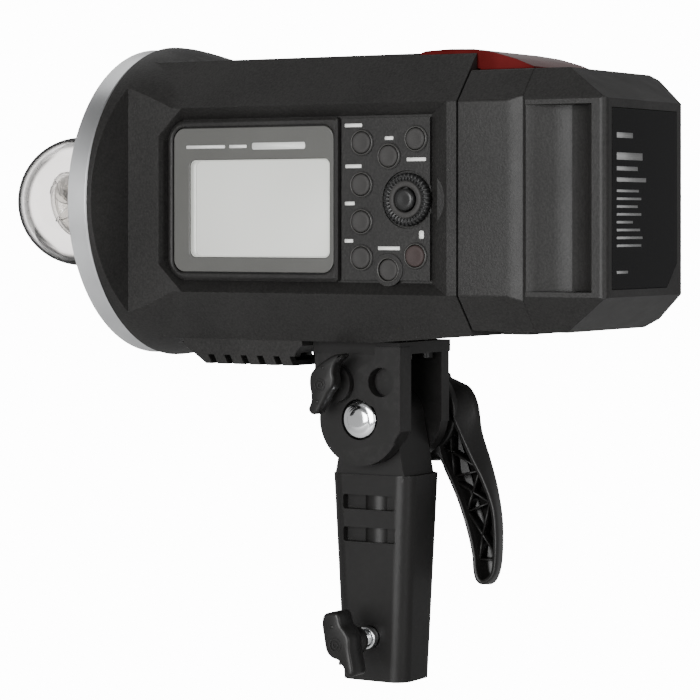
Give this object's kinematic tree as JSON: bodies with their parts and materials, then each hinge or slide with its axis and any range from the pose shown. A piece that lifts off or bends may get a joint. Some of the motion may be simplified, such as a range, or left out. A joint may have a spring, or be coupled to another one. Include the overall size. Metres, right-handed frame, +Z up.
{
  "type": "monolight strobe",
  "caption": "Battery powered studio flash head with a glass dome, display and control panel, on a tilting bracket with a socket for a light stand.",
  "frame": {"origin": "centre of the mouth of the stand socket, at the foot of the bracket", "axes": "+Z up along the stand axis, -Y towards the flash tube, +Y towards the battery, +X towards the display side"},
  "size_m": [0.1246, 0.2896, 0.2473],
  "materials": {
    "casing_plastic": "fine spark grain, black",
    "bracket_metal": "satin black paint on die-cast aluminium",
    "knob_plastic": "moulded glass-filled nylon, black",
    "dial_plastic": "satin black",
    "button_rubber": "matte dark grey silicone",
    "ring_aluminium": "satin turned",
    "steel": "plain",
    "black_steel": "black oxide",
    "chrome": "polished",
    "dome_glass": "clear",
    "quartz": "clear quartz",
    "white_reflector": "white enamel",
    "ceramic": "matte white",
    "lamp_white": "yellow phosphor in a white frame",
    "display_grey": "satin dark grey",
    "lcd_window": "clear acrylic over a reflective screen",
    "lcd_panel": "grey green",
    "red_window": "translucent dark red acrylic",
    "label_black": "gloss black film",
    "circuit_board": "green solder mask",
    "capacitor_wrap": "black sleeve",
    "cell_wrap": "blue sleeve",
    "contact_brass": "gilt",
    "inner_plastic": "black"
  },
  "bodies": {
    "stand_bracket": {"stand_bracket": "bracket_metal", "socket_liner": "steel", "stand_bushing": "chrome"},
    "stand_knob": {"stand_knob": "knob_plastic", "stand_screw": "steel"},
    "umbrella_knob": {"umbrella_knob": "knob_plastic", "umbrella_screw": "steel"},
    "lock_lever": {"lock_lever": "knob_plastic", "lever_nut": "steel"},
    "select_dial": {"select_dial": "dial_plastic"},
    "dial_button": {"dial_button": "dial_plastic"},
    "battery": {"battery_case": "casing_plastic", "battery_rear_cover": "casing_plastic", "battery_label": "label_black", "battery_cells": "cell_wrap", "battery_contacts": "contact_brass", "latch_spring": "steel"},
    "battery_latch": {"battery_latch": "casing_plastic", "latch_hook": "steel"},
    "modifier_latch": {"modifier_latch": "steel"},
    "button_mode": {"button_mode": "button_rubber"},
    "button_menu": {"button_menu": "button_rubber"},
    "button_hss": {"button_hss": "button_rubber"},
    "button_lamp": {"button_lamp": "button_rubber"},
    "button_sync": {"button_sync": "button_rubber"},
    "button_group": {"button_group": "button_rubber"},
    "button_test": {"button_test": "button_rubber"},
    "button_power": {"button_power": "button_rubber"},
    "head": {"bayonet_plate": "steel", "bracket_screws": "black_steel", "button_board": "circuit_board", "control_plate": "casing_plastic", "cooling_fan": "inner_plastic", "dial_encoder": "inner_plastic", "display_frame": "casing_plastic", "display_plate": "display_grey", "far_housing": "casing_plastic", "flash_capacitors": "capacitor_wrap", "flash_tube": "quartz", "friction_washers": "steel", "front_ring": "ring_aluminium", "glass_dome": "dome_glass", "head_bracket": "bracket_metal", "head_contacts": "contact_brass", "heat_sink": "ring_aluminium", "housing_screws": "black_steel", "lcd_panel": "lcd_panel", "lcd_window": "lcd_window", "main_board": "circuit_board", "modelling_lamp": "lamp_white", "near_housing": "casing_plastic", "port_cover": "button_rubber", "port_panel": "casing_plastic", "reflector_dish": "white_reflector", "sensor_window": "red_window", "slave_sensor": "circuit_board", "tilt_bolt": "chrome", "tube_socket": "ceramic"}
  },
  "joints": [
    {"name": "head_tilt", "type": "hinge", "parent": "stand_bracket", "child": "head", "pos_m": [0, 0, 0.101], "axis": [1, 0, 0], "range_deg": [-60, 40]},
    {"name": "stand_knob_turn", "type": "hinge", "parent": "stand_bracket", "child": "stand_knob", "pos_m": [0.0165, 0, 0.017], "axis": [1, 0, 0], "continuous": true},
    {"name": "umbrella_knob_turn", "type": "hinge", "parent": "head", "child": "umbrella_knob", "pos_m": [0.0272, -0.0096, 0.1146], "axis": [1, 0, 0], "continuous": true},
    {"name": "lock_lever_turn", "type": "hinge", "parent": "head", "child": "lock_lever", "pos_m": [-0.025, 0, 0.101], "axis": [1, 0, 0], "range_deg": [-45, 35]},
    {"name": "dial_turn", "type": "hinge", "parent": "head", "child": "select_dial", "pos_m": [0.0395, 0.0332, 0.18475], "axis": [1, 0, 0], "continuous": true},
    {"name": "dial_press", "type": "slide", "parent": "head", "child": "dial_button", "axis": [-1, 0, 0], "range_m": [0, 0.0008], "stiffness_N_per_m": 2000, "springref_m": -0.0004},
    {"name": "battery_slide", "type": "slide", "parent": "head", "child": "battery", "axis": [0, 1, 0], "range_m": [0, 0.07]},
    {"name": "battery_latch_slide", "type": "slide", "parent": "battery", "child": "battery_latch", "axis": [0, 0, 1], "range_m": [0, 0.002], "stiffness_N_per_m": 800, "springref_m": -0.002},
    {"name": "modifier_latch_slide", "type": "slide", "parent": "head", "child": "modifier_latch", "axis": [-0.866, 0, 0.5], "range_m": [0, 0.003], "stiffness_N_per_m": 1000, "springref_m": -0.002},
    {"name": "button_mode_press", "type": "slide", "parent": "head", "child": "button_mode", "axis": [-1, 0, 0], "range_m": [0, 0.001], "stiffness_N_per_m": 1500, "springref_m": -0.0004},
    {"name": "button_menu_press", "type": "slide", "parent": "head", "child": "button_menu", "axis": [-1, 0, 0], "range_m": [0, 0.001], "stiffness_N_per_m": 1500, "springref_m": -0.0004},
    {"name": "button_hss_press", "type": "slide", "parent": "head", "child": "button_hss", "axis": [-1, 0, 0], "range_m": [0, 0.001], "stiffness_N_per_m": 1500, "springref_m": -0.0004},
    {"name": "button_lamp_press", "type": "slide", "parent": "head", "child": "button_lamp", "axis": [-1, 0, 0], "range_m": [0, 0.001], "stiffness_N_per_m": 1500, "springref_m": -0.0004},
    {"name": "button_sync_press", "type": "slide", "parent": "head", "child": "button_sync", "axis": [-1, 0, 0], "range_m": [0, 0.001], "stiffness_N_per_m": 1500, "springref_m": -0.0004},
    {"name": "button_group_press", "type": "slide", "parent": "head", "child": "button_group", "axis": [-1, 0, 0], "range_m": [0, 0.001], "stiffness_N_per_m": 1500, "springref_m": -0.0004},
    {"name": "button_test_press", "type": "slide", "parent": "head", "child": "button_test", "axis": [-1, 0, 0], "range_m": [0, 0.001], "stiffness_N_per_m": 1500, "springref_m": -0.0004},
    {"name": "button_power_press", "type": "slide", "parent": "head", "child": "button_power", "axis": [-1, 0, 0], "range_m": [0, 0.001], "stiffness_N_per_m": 1500, "springref_m": -0.0004}
  ]
}
